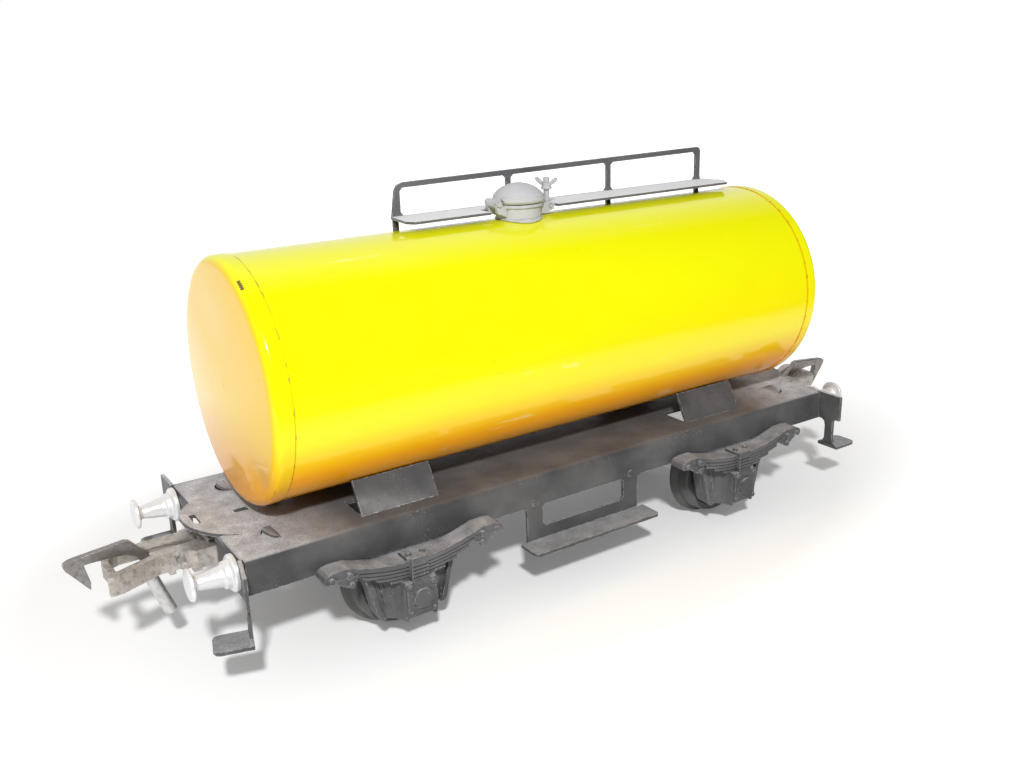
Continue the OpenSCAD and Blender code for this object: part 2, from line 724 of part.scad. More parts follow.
// thick end of the main leaf and the shackle that hangs from it
module shackle() {
    u = spring_hl;
    z1 = spring_z + spring_sag;
    xz(spring_y0 + 0.12, spring_y1 - spring_y0 - 0.08)
        polygon([[arc_hl - 0.6, z1 - 0.35], [arc_hl + 0.1, z1 + 0.05], [u - 1.6, z1 + 0.08],
            [u - 0.6, z1 - 0.1], [u - 0.15, z1 - 0.4], [u, z1 - 0.75], [u - 0.15, z1 - 1.1],
            [u - 0.55, z1 - 1.2], [u - 1.3, z1 - 0.95], [arc_hl + 0.1, z1 - 0.8],
            [arc_hl - 0.6, z1 - 0.9]]);
    xz(spring_y0 + 0.4, spring_y1 - spring_y0 - 0.25)
        polygon([[arc_hl - 0.9, z1 - 0.9], [arc_hl - 0.7, z1 - 1.5], [arc_hl - 0.1, z1 - 2.1],
            [arc_hl + 0.5, z1 - 2], [u - 1.4, z1 - 1.3], [u - 1.1, z1 - 0.9]]);
    ybar(arc_hl, z1 - 1.75, 0.36, spring_y1 - 0.4, spring_y1 + 0.5, 20);
    ybar(arc_hl + 0.15, z1 - 0.75, 0.4, spring_y1 - 0.4, spring_y1 + 0.45, 20);
    ybar(u - 0.85, z1 - 0.75, 0.34, spring_y1 - 0.4, spring_y1 + 0.35, 20);
}

module axle_guard() {
    iy1 = 12.5;
    z1 = sole_z - 0.15;
    color("#26272a")
    difference() {
        union() {
            // pad inside the solebar and its two pegs
            translate([-6.4, guard_y0, z1 - 0.6])
                cube([12.8, face_in - guard_y0, under_z - 0.05 - z1 + 0.6]);
            for (s = [-1, 1])
                ybar(s * peg_u, peg_z, peg_r, face_in - 0.3, face_in + sheet_t * 0.5, 20);
            // flared plate with its stiffening ribs
            xz(guard_y0, iy1 - guard_y0)
                polygon([[-5.6, z1], [-4.2, iron_z0 + 0.5], [-3.7, iron_z0],
                    [3.7, iron_z0], [4.2, iron_z0 + 0.5], [5.6, z1]]);
            for (s = [0, 1])
                mirror([s, 0, 0]) {
                    xz(iy1 - 0.2, 0.6)
                        polygon([[-5.6, 9.6], [-4.2, iron_z0 + 0.5], [-3.9, iron_z0],
                            [-3.3, iron_z0], [-3.6, iron_z0 + 0.5], [-5.0, 9.6]]);
                    xz(iy1 - 0.2, 0.45)
                        polygon([[-4.1, 9.4], [-3.0, iron_z0], [-2.6, iron_z0], [-3.7, 9.4]]);
                }
            // spring
            for (k = [0 : leaf_n - 1]) leaf(k);
            leaf_core();
            for (s = [0, 1])
                mirror([s, 0, 0]) shackle();
            // web behind the spring
            xz(iy1 - 0.3, 0.5)
                polygon([[-7.6, z1 - 0.05], [-5.4, 8.3], [5.4, 8.3], [7.6, z1 - 0.05]]);
            // buckle with its cap and bolts
            translate([-1, spring_y0, 7.9])
                cube([2, spring_y1 + 0.35 - spring_y0, 2.9]);
            translate([-1.3, spring_y0 + 0.25, spring_z - 0.1])
                cube([2.6, spring_y1 - spring_y0 - 0.3, 0.5]);
            for (s = [-1, 1])
                translate([s * 0.85, spring_y1 - 0.7, spring_z + 0.3])
                    cylinder(r = 0.32, h = 0.5, $fn = 16);
            // coved cheeks between the plate and the axle box
            for (s = [0, 1])
                mirror([s, 0, 0])
                    translate([0, 0, iron_z0 + 0.05])
                        linear_extrude(4.8)
                            polygon([[box_hw + 1.65, iy1 - 0.15], [box_hw + 1.6, iy1 + 0.1],
                                [box_hw + 1.1, iy1 + 0.35], [box_hw + 0.65, iy1 + 0.8],
                                [box_hw + 0.3, iy1 + 1.4], [box_hw + 0.1, iy1 + 2.2],
                                [box_hw - 0.3, iy1 + 2.2], [box_hw - 0.3, iy1 - 0.15]]);
            // axle box
            translate([-box_hw, iy1 - 0.2, axle_z - 2.05])
                cube([2 * box_hw, box_y - iy1 + 0.2, 4.1]);
            translate([-box_hw - 0.2, iy1 - 0.1, axle_z + 1.55])
                cube([2 * box_hw + 0.4, box_y - iy1, 0.4]);
            for (sx = [-1, 1], sz = [-1, 1])
                ybar(sx * (box_hw - 0.42), axle_z + sz * 1.6, 0.3, box_y - 0.2, box_y + 0.25, 16);
            ybar(0, axle_z, cover_r, box_y - 0.2, box_y + 0.3, 28);
            // bearing boss on the inner side
            ybar(0, axle_z, 1.7, guard_y0 - 0.2, guard_y0 + 1, 28);
        }
        ybar(0, axle_z, journal_r + journal_fit, guard_y0 - 1, journal_y + 0.25, 28);
        // hollow between plate and spring at each side
        for (s = [0, 1])
            mirror([s, 0, 0])
                xz(guard_y0 - 1, 1.9)
                    polygon([[2.2, 4.4], [3.4, 4.4], [4.6, 9.3], [2.2, 9.3]]);
    }
}

module guard_at(sx, sy) {
    translate([sx * half_base, 0, 0])
        rotate([0, 0, sy > 0 ? 0 : 180])
            axle_guard();
}

module axle_guard_left_near() { guard_at(-1, -1); }
module axle_guard_left_far() { guard_at(-1, 1); }
module axle_guard_right_near() { guard_at(1, -1); }
module axle_guard_right_far() { guard_at(1, 1); }

// --------------------------------------------------------------- wheelsets
module axle(sx) {
    y1 = back_y + wheel_w + 0.35;
    color("#7d7f83")
    translate([sx * half_base, 0, axle_z])
        rotate([-90, 0, 0])
            rotate_extrude($fn = 40)
                polygon([[0, -journal_y], [journal_r - 0.2, -journal_y],
                    [journal_r, -journal_y + 0.4], [journal_r, -y1], [axle_r, -y1],
                    [axle_r, y1], [journal_r, y1], [journal_r, journal_y - 0.4],
                    [journal_r - 0.2, journal_y], [0, journal_y]]);
}

module wheel(sx, sy) {
    t = flange_r - flange_d;
    w = wheel_w;
    color("#2f3033")
    translate([sx * half_base, sy * back_y, axle_z])
        rotate([sy > 0 ? -90 : 90, 0, 0])
            rotate_extrude($fn = 64)
                polygon([[axle_r, 0], [2.1, 0], [2.2, 0.5], [t - 1.3, 0.5], [t - 1.1, 0],
                    [flange_r - 0.3, 0], [flange_r, 0.25], [flange_r, 0.5],
                    [flange_r - 0.3, 0.8], [t, 1.0], [t - 0.1, w - 0.15], [t - 0.25, w],
                    [t - 0.95, w], [t - 1.15, w - 0.9], [2.2, w - 1.0], [1.9, w + 0.15],
                    [axle_r, w + 0.15]]);
}

module axle_left() { axle(-1); }
module axle_right() { axle(1); }
module wheel_left_near() { wheel(-1, -1); }
module wheel_left_far() { wheel(-1, 1); }
module wheel_right_near() { wheel(1, -1); }
module wheel_right_far() { wheel(1, 1); }

// ----------------------------------------------------------------- buffers
module buffer(sx, sy) {
    l = buffer_l;
    color("#e9eaec")
    translate([sx * deck_hl, sy * buffer_y, buffer_z])
        rotate([0, sx * 90, 0])
            rotate_extrude($fn = 36)
                polygon([[0, -0.9], [0.6, -0.9], [0.6, 0], [collar_r, 0],
                    [collar_r, 0.4], [collar_r - 0.2, 0.6], [stem_r + 0.8, 0.65],
                    [stem_r + 0.7, 1.2], [stem_r + 0.45, 1.3], [stem_r + 0.1, l - 1.4],
                    [stem_r, l - 0.9], [stem_r + 0.3, l - 0.6], [head_r - 0.1, l - 0.5],
                    [head_r, l - 0.35], [head_r - 0.1, l - 0.1], [0.9, l], [0, l]]);
}

module buffer_left_near() { buffer(-1, -1); }
module buffer_left_far() { buffer(-1, 1); }
module buffer_right_near() { buffer(1, -1); }
module buffer_right_far() { buffer(1, 1); }

// ---------------------------------------------------------------- couplers
// all drawn for the right end; the left end is the same turned half round
module coupler_body() {
    color("#6e655a")
    difference() {
        union() {
            // tongue to the pivot
            translate([0, 0, tail_z0])
                linear_extrude(tail_z1 - tail_z0)
                    polygon([[block_x0 + 1, -1.7], [block_x0 + 1, 1.7], [pivot_x + 0.5, 1.5],
                        [pivot_x - 0.9, 1.1], [pivot_x - 1.4, 0.5], [pivot_x - 1.4, -0.5],
                        [pivot_x - 0.9, -1.1], [pivot_x + 0.5, -1.5]]);
            // cross block and its lugs
            translate([0, 0, coup_z0])
                linear_extrude(coup_h)
                    polygon([[block_x0, -2.4], [block_x0 + 0.6, -3], [block_x1 - 0.5, -3],
                        [block_x1, -2.4], [block_x1, 2.6], [block_x1 - 0.5, 3.1],
                        [block_x0 + 0.6, 3.1], [block_x0, 2.4]]);
            for (s = [-1, 1])
                translate([block_x1 - 1.1, s * 2.3 - 0.45, coup_z0 - 0.5])
                    cube([1, 0.9, 1]);
            // head with the slot, running on into the loop's side bar
            translate([0, 0, coup_z0])
                linear_extrude(coup_h)
                    polygon([[block_x1 - 0.3, -head_hw], [body_x1 + 0.2, -head_hw],
                        [body_x1 + 0.5, 0.8 - loop_y0], [body_x1, -1.3],
                        [body_x1, 1.2], [loop_x - 0.4, loop_y - 0.95], [loop_x, loop_y - 0.6],
                        [loop_x, loop_y - 0.1], [loop_x - 0.5, loop_y],
                        [loop_x - 1.3, loop_y - 0.1], [body_x1 - 0.6, 2.05],
                        [block_x1 + 1.1, 2.05], [block_x1 + 0.9, 2.5], [block_x1 - 0.3, 2.5]]);
            translate([block_x1 + 1.5, 1.25, coup_z0 - 0.45])
                cube([0.7, 0.7, 0.8]);
            // front bar of the loop, bent back into its straight side bar
            translate([0, 0, coup_z0 + 0.45])
                linear_extrude(coup_h - 0.5)
                    polygon([[loop_x - 0.5, loop_y - 0.3], [loop_x - 0.2, 0],
                        [loop_x - 0.5, 1.2 - loop_y0], [loop_x - 1.2, 0.3 - loop_y0],
                        [loop_x - 2, -loop_y0], [block_x1 - 0.6, -loop_y0],
                        [block_x1 - 0.6, 0.75 - loop_y0], [loop_x - 2.1, 0.75 - loop_y0],
                        [loop_x - 1.6, 1 - loop_y0], [loop_x - 1.2, 1.6 - loop_y0],
                        [loop_x - 0.95, 0], [loop_x - 1.15, loop_y - 0.6]]);
        }
        // slot for the hook
        translate([block_x0 + 1.6, -slot_hw, coup_z0 - 1])
            cube([body_x1 - block_x0 - 1.5, 2 * slot_hw, coup_h + 2]);
        // room for the release pin when the hook is lifted
        translate([body_x1 - 1.9, -release_r - 0.15, coup_z0 - 1])
            cube([3, 2 * release_r + 0.3, 2.1]);
        ybar(hook_px, hook_pz, hook_pin_r, -4, 4, 24);
        translate([pivot_x, 0, coup_z0])
            cylinder(r = pivot_r + pivot_fit, h = 4, $fn = 32);
    }
}

// outline of the hook in X and Z, for the right end
module hook_outline() {
    z = coup_z;
    difference() {
        polygon([[block_x0 + 2.2, z - 0.35], [body_x1 - 0.2, z - 0.05],
            [body_x1 + 0.9, z + 0.9], [body_x1 + 1.6, z + 1.7], [body_x1 + 2.1, z + 1.85],
            [hook_x - 0.7, z + 1.3], [hook_x - 0.15, z + 1.05], [hook_x, z + 0.75],
            [hook_x - 0.15, z + 0.35], [hook_x - 2.25, z - 2.45], [hook_x - 2.35, z - 1.6],
            [hook_x - 1.95, z + 0.45], [hook_x - 3.2, z + 0.5], [body_x1 + 2.2, z + 0.35],
            [body_x1 + 1.2, z - 0.2], [body_x1 + 0.7, z - 1.0], [body_x1 + 0.6, z - 2.9],
            [body_x1 - 0.3, z - 2.9], [body_x1 - 0.5, z - 1.9], [block_x0 + 2.2, z - 1.7]]);
        translate([hook_px, hook_pz])
            circle(r = hook_pin_r + pivot_fit, $fn = 24);
    }
}

module coupler_hook() {
    color("#4a4641")
        xz(-hook_t / 2, hook_t) hook_outline();
}

module hook_pin() {
    color("#8a8680")
        ybar(hook_px, hook_pz, hook_pin_r, -1.75, 2.15, 24);
}

// the pin hangs from the hook's tongue and leans back
module release_pin() {
    x1 = body_x1 + 0.22;
    z1 = coup_z - 2.35;
    x0 = body_x1 - 1.58;
    l = sqrt(pow(x1 - x0, 2) + pow(z1 - release_z, 2));
    a = atan((x1 - x0) / (z1 - release_z));
    color("#c4c6ca")
    difference() {
        translate([x0, 0, release_z])
            rotate([0, a, 0])
                rotate_extrude($fn = 28)
                    polygon([[0, 0], [release_r - 0.2, 0], [release_r, 0.2], [release_r, l], [0, l]]);
        xz(-hook_t / 2 - 0.02, hook_t + 0.04)
            polygon([[body_x1 - 1, z1 + 1], [body_x1 - 1, coup_z - 3.0],
                [body_x1 + 1.3, coup_z - 3.0], [body_x1 + 1.3, z1 + 1]]);
    }
}

module coupler_rivet() {
    color("#55565a")
    translate([pivot_x, 0, 0])
        rotate_extrude($fn = 32)
            polygon([[0, tail_z0 - 0.7], [1.0, tail_z0 - 0.7], [1.3, tail_z0 - 0.45],
                [1.3, tail_z0 - 0.1], [pivot_r, tail_z0 - 0.1], [pivot_r, tail_z1 + 0.1],
                [1.25, tail_z1 + 0.1], [1.25, under_z], [pivot_r, under_z],
                [pivot_r, deck_z], [1.2, deck_z], [1.1, deck_z + 0.25],
                [0.6, deck_z + 0.4], [0, deck_z + 0.42]]);
}

module at_left() { rotate([0, 0, 180]) children(); }

module coupler_body_right() { coupler_body(); }
module coupler_hook_right() { coupler_hook(); }
module hook_pin_right() { hook_pin(); }
module release_pin_right() { release_pin(); }
module coupler_rivet_right() { coupler_rivet(); }
module coupler_body_left() { at_left() coupler_body(); }
module coupler_hook_left() { at_left() coupler_hook(); }
module hook_pin_left() { at_left() hook_pin(); }
module release_pin_left() { at_left() release_pin(); }
module coupler_rivet_left() { at_left() coupler_rivet(); }

chassis_pan();
tank_barrel();
tank_cap_left();
tank_cap_right();
walkway_railing();
manhole_neck();
manhole_lid();
lid_hinge_pin();
lid_swing_bolt();
lid_wing_nut();
axle_guard_left_near();
axle_guard_left_far();
axle_guard_right_near();
axle_guard_right_far();
axle_left();
wheel_left_near();
wheel_left_far();
axle_right();
wheel_right_near();
wheel_right_far();
buffer_left_near();
buffer_left_far();
buffer_right_near();
buffer_right_far();
coupler_body_left();
coupler_hook_left();
hook_pin_left();
release_pin_left();
coupler_rivet_left();
coupler_body_right();
coupler_hook_right();
hook_pin_right();
release_pin_right();
coupler_rivet_right();
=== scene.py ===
import json
from math import radians

import bmesh
import bpy
import numpy as np
from mathutils import Matrix, Vector


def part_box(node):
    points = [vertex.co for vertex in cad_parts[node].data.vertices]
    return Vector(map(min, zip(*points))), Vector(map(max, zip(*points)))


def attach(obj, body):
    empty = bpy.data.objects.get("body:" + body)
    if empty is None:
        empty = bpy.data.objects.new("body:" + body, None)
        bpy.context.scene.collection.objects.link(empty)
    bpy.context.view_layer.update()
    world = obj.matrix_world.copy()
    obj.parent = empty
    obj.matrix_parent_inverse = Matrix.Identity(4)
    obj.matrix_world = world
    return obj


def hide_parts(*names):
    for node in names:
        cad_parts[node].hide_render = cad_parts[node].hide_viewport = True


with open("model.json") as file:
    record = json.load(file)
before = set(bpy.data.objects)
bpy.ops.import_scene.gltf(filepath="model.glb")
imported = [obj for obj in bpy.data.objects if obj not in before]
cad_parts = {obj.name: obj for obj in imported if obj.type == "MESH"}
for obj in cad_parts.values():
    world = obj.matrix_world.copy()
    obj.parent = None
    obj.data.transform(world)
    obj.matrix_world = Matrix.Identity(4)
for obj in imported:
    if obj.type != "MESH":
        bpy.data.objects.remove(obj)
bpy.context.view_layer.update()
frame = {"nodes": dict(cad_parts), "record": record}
bpy.context.scene.view_settings.view_transform = "Standard"
# the wagon's lengths are in millimetres, which MM brings to metres; the table's and
# the lamps' are in metres
MM = 0.001

# ---------------------------------------------------------------- pressed chassis
# One sheet of tinplate, blanked and folded: deck, solebars, end beams with their
# feet, footboards and saddle tabs. Stove enamelled satin black, now dusty on top,
# dulled where hands hold it, and rubbed to bare tin along its folds and cut edges.

enamel_black = (0.056, 0.056, 0.058, 1)
enamel_dulled = (0.112, 0.110, 0.110, 1)
deck_dust = (0.72, 0.72, 0.75, 1)
rubbed_tin = (0.42, 0.39, 0.39, 1)
# painted shade: near black laid in the grooves of moulded pieces
groove_shade = (0.008, 0.008, 0.008, 1)
# the deck is laid darker under the tank's length and low down: there the dust colour lies thinner
thin_reach, thin_share = 36, 0.07
low_to, high_from, low_share = 9, 11, 0.5
chassis_edge = 0.07
# points closer than weld are one, faces that differ by less than flat_to are one, and
# an edge between faces that differ by more than fold_from is rounded
weld = 0.002
flat_to, fold_from = radians(0.6), radians(40)
level_from = 0.985


def add(tree, kind, inputs=None, **settings):
    """One shader node. Each input is a plain value or another node's output socket."""
    node = tree.nodes.new("ShaderNode" + kind)
    for key, value in settings.items():
        setattr(node, key, value)
    for key, value in (inputs or {}).items():
        if isinstance(value, bpy.types.NodeSocket):
            tree.links.new(value, node.inputs[key])
        else:
            node.inputs[key].default_value = value
    return node


def new_finish(name):
    """An empty material, its tree, its surface shader and the piece's own coordinates."""
    material = bpy.data.materials.new(name)
    material.use_nodes = True
    tree = material.node_tree
    shader = tree.nodes["Principled BSDF"]
    return material, tree, shader, add(tree, "TexCoord")


def mottle(tree, where, size, detail=4.0, rough=0.55):
    """Noise from 0 to 1 whose patches measure about size millimetres."""
    noise = add(tree, "TexNoise", {"Vector": where.outputs["Object"], "Scale": 1 / (size * MM),
                                   "Detail": detail, "Roughness": rough})
    return noise.outputs["Fac"]


def between(tree, value, low, high, to_low=0.0, to_high=1.0):
    """The value stretched so that low..high becomes to_low..to_high, and cut off outside."""
    return add(tree, "MapRange", {"Value": value, "From Min": low, "From Max": high,
                                  "To Min": to_low, "To Max": to_high}).outputs["Result"]


def maths(tree, operation, a, b):
    """One sum on two numbers, held between 0 and 1."""
    return add(tree, "Math", {0: a, 1: b}, operation=operation, use_clamp=True).outputs["Value"]


def size_of(tree, value):
    """The number without its sign, at any size."""
    return add(tree, "Math", {0: value}, operation="ABSOLUTE").outputs["Value"]


def tint(tree, share, under, over):
    """The under colour with the over colour laid on it by share."""
    mix = add(tree, "Mix", {"Factor": share, 6: under, 7: over}, data_type="RGBA")
    return mix.outputs[2]


def edges(tree, width, low, high):
    """1 on an edge of the piece and 0 away from it: how far a rounded normal leans off the
    face's own."""
    rounded = add(tree, "Bevel", {"Radius": width * MM}, samples=6)
    own = add(tree, "NewGeometry")
    lean = add(tree, "VectorMath", {0: rounded.outputs["Normal"], 1: own.outputs["Normal"]},
               operation="DOT_PRODUCT")
    return between(tree, lean.outputs["Value"], high, low)


def facing_up(tree, where, low, high):
    """1 where the face looks up in the piece's own frame."""
    split = add(tree, "SeparateXYZ", {"Vector": where.outputs["Normal"]})
    return between(tree, split.outputs["Z"], low, high)


def relief(tree, shader, height, distance, strength):
    """Bump on the shader's normal: where height is 1 the skin stands up by distance millimetres."""
    bump = add(tree, "Bump", {"Height": height, "Distance": distance * MM, "Strength": strength})
    tree.links.new(bump.outputs["Normal"], shader.inputs["Normal"])


def worn_enamel(name, base, dulled, dust_and_sheen, metal, dust_share=0.8, thinnest=0.35, wear_width=0.16,
                thin_within=0, smallest=0.6, moulded=False):
    """Old satin enamel: cloudy, dusty on its upward faces, speckled, and bare along its edges; on the
    walkway strip the pale layer on its upward faces is a painted sheen instead. Between its grains that
    layer falls to the smallest share. Where a reach is given, it also lies thinner low down and within
    that many millimetres of the wagon's middle. A moulded piece, finely meshed, has painted shade in its
    grooves."""
    material, tree, shader, where = new_finish(name)
    clouds = between(tree, mottle(tree, where, 7), 0.35, 0.68)
    colour = tint(tree, clouds, base, dulled)
    if moulded:
        # painted shade: the grooves, where pointiness is low, are darkened towards near black
        groove_shading = between(tree, add(tree, "NewGeometry").outputs["Pointiness"], 0.49, 0.44)
        colour = tint(tree, groove_shading, colour, groove_shade)
    grains = between(tree, mottle(tree, where, 0.15, 1), 0.66, 0.71)
    sand = between(tree, mottle(tree, where, 0.17, 2), 0.38, 0.62, smallest, 1.0)
    film = between(tree, mottle(tree, where, 2.2, 5), 0.30, 0.70, thinnest, 1.0)
    film = maths(tree, "MULTIPLY", film, sand)
    up = facing_up(tree, where, 0.70, 0.97)
    settled = maths(tree, "MULTIPLY", maths(tree, "MULTIPLY", up, film), dust_share)
    # darker within the reach of the wagon's middle and low down: the dust colour is laid thinner there
    if thin_within:
        split = add(tree, "SeparateXYZ", {"Vector": where.outputs["Object"]})
        along = size_of(tree, split.outputs["X"])
        outer_share = between(tree, along, (thin_within - 7) * MM, (thin_within + 3) * MM, thin_share, 1.0)
        raised = between(tree, split.outputs["Z"], low_to * MM, high_from * MM)
        lying = add(tree, "Mix", {"Factor": raised, 2: low_share, 3: outer_share}).outputs[0]
        settled = maths(tree, "MULTIPLY", settled, lying)
    colour = tint(tree, settled, colour, dust_and_sheen)
    specks = maths(tree, "MULTIPLY", maths(tree, "MULTIPLY", grains, 0.7),
                   between(tree, mottle(tree, where, 5), 0.48, 0.68))
    colour = tint(tree, specks, colour, metal)
    edge = edges(tree, wear_width, 0.90, 0.99)
    chipped = between(tree, mottle(tree, where, 0.6, 5), 0.44, 0.56)
    bare = maths(tree, "MULTIPLY", edge, chipped)
    colour = tint(tree, bare, colour, metal)
    tree.links.new(colour, shader.inputs["Base Color"])
    rough = between(tree, mottle(tree, where, 1.6), 0.3, 0.7, 0.34, 0.52)
    rough = maths(tree, "ADD", rough, maths(tree, "MULTIPLY", settled, 0.25))
    tree.links.new(rough, shader.inputs["Roughness"])
    tree.links.new(maths(tree, "MULTIPLY", bare, 0.25), shader.inputs["Metallic"])
    shader.inputs["Specular IOR Level"].default_value = 0.25
    relief(tree, shader, mottle(tree, where, 0.5, 5), 0.03, 0.5)
    return material


def dress(node, material):
    """The CAD node keeps its mesh and takes the finish."""
    skin = frame["nodes"][node].data.materials
    skin.clear()
    skin.append(material)


body_of = {node: body for body, nodes in frame["record"]["behaviour"]["bodies"].items()
           for node in nodes}


def settle(name, mesh, node, material):
    """A new piece made of the mesh, in place of the CAD node and on the node's own body."""
    mesh.materials.clear()
    mesh.materials.append(material)
    piece = bpy.data.objects.new(name, mesh)
    bpy.context.scene.collection.objects.link(piece)
    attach(piece, body_of[node])
    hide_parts(node)


def joined(node):
    """A copy of the node's mesh in millimetres, with its loose triangles joined up."""
    mesh = frame["nodes"][node].data.copy()
    shape = bmesh.new()
    shape.from_mesh(mesh)
    bmesh.ops.remove_doubles(shape, verts=shape.verts, dist=weld * MM)
    bmesh.ops.scale(shape, vec=(1 / MM,) * 3, verts=shape.verts)
    shape.to_mesh(mesh)
    shape.free()
    return mesh


def points(mesh):
    """The mesh's vertices as an array of rows."""
    flat = np.empty(3 * len(mesh.vertices), np.float32)
    mesh.vertices.foreach_get("co", flat)
    return flat.reshape(-1, 3)


def worked(mesh, *steps, crease=180):
    """The mesh after its modifiers, brought from millimetres to metres. Each step is a modifier's
    kind and its settings; an edge sharper than crease degrees stays sharp."""
    mesh.polygons.foreach_set("use_smooth", np.ones(len(mesh.polygons), bool))
    blank = bpy.data.objects.new("blank", mesh)
    bpy.context.scene.collection.objects.link(blank)
    for kind, settings in steps:
        step = blank.modifiers.new(kind, kind)
        for key, value in settings.items():
            setattr(step, key, value)
    done = bpy.data.meshes.new_from_object(blank.evaluated_get(bpy.context.evaluated_depsgraph_get()))
    bpy.data.objects.remove(blank)
    done.vertices.foreach_set("co", (points(done) * MM).ravel())
    if crease < 180:
        done.set_sharp_from_angle(angle=radians(crease))
    done.update()
    return done


def broken_edges(mesh, width):
    """The flat faces made whole, every sharp edge rounded over the width in millimetres, and the
    shading at each corner left to its largest face. Faces that look up by more than level_from are
    shaded by their own slope alone, so that a deck and its lips look flat."""
    shape = bmesh.new()
    shape.from_mesh(mesh)
    bmesh.ops.dissolve_limit(shape, angle_limit=flat_to, verts=shape.verts, edges=shape.edges)
    shape.to_mesh(mesh)
    shape.free()
    done = worked(mesh, ("BEVEL", {"width": width, "segments": 2, "limit_method": "ANGLE",
                                   "angle_limit": fold_from, "use_clamp_overlap": True}),
                  ("WEIGHTED_NORMAL", {"mode": "FACE_AREA", "weight": 80}))
    slopes = np.empty((len(done.polygons), 3), np.float32)
    counts = np.empty(len(done.polygons), np.int32)
    corners = np.empty((len(done.loops), 3), np.float32)
    done.polygons.foreach_get("normal", slopes.ravel())
    done.polygons.foreach_get("loop_total", counts)
    done.corner_normals.foreach_get("vector", corners.ravel())
    flat = np.repeat(slopes[:, 2] > level_from, counts)
    corners[flat] = np.repeat(slopes, counts, axis=0)[flat]
    done.normals_split_custom_set(corners)
    return done


black_enamel = worn_enamel("black_enamel", enamel_black, enamel_dulled, deck_dust, rubbed_tin,
                           dust_share=1.0, thinnest=0.5, thin_within=thin_reach)

# the near end of the left beam, with its foot, was knocked outwards about the solebar's corner
knock, knock_reach, slack = radians(-15), 3, 0.02
corner = np.array((-42.0, -12.0))
sheet = joined("chassis_pan")
place = points(sheet)
outer = (place[:, 0] < corner[0] + knock_reach) & (place[:, 1] < corner[1] - slack)
turn = np.array(((np.cos(knock), -np.sin(knock)), (np.sin(knock), np.cos(knock))))
place[outer, :2] = (place[outer, :2] - corner) @ turn.T + corner
sheet.vertices.foreach_set("co", place.ravel())
settle("chassis_sheet", broken_edges(sheet, chassis_edge), "chassis_pan", black_enamel)

# ---------------------------------------------------------------- tank barrel
# A sheet of tin printed gloss yellow, rolled to a tube and held to the deck by two
# legs folded under it. It has the shallow dents and fine scratches of a played-with toy.

lemon = (0.80, 0.82, 0.001, 1)
# golden and amber are painted shade: the print's lower flank is laid darker and warmer by height
shade_golden = (0.94, 0.80, 0.001, 1)
shade_amber = (1.0, 0.41, 0.002, 1)
pale_scratch = (0.93, 0.92, 0.60, 1)
brown_grit = (0.30, 0.20, 0.03, 1)
worn_brown = (0.22, 0.15, 0.06, 1)
flaked_tin = (0.16, 0.11, 0.04, 1)
tank_z, tank_x, tank_r, tank_hl = 28.9, 0.3, 13.25, 35.7
joggle, joggle_run, overlap, gauge = 0.3, 0.12, 0.9, 0.35
barrel_rows, barrel_columns = 216, 180
hatch_x, hatch_y, hatch_bore = -0.6, -0.4, 1.8
# the height about which the print is painted amber as shade, and half the width of that blend
barrel_shade_z, barrel_shade_blend = tank_z - 6.2, 2.2
leg_x, leg_w, leg_edge = 30, 4, 0.05
# each row: the dent's middle along the tank and round it in radians, its two half widths, its depth
barrel_dents = np.array(((-31, 1.2, 5, 0.35, 0.10), (-20, 0.35, 4, 0.25, 0.06), (9, 1.75, 9, 0.3, 0.08),
                         (27, 1.35, 3.5, 0.22, 0.10), (14, 4.1, 7, 0.4, 0.12), (-12, 5.0, 5, 0.3, 0.10)))


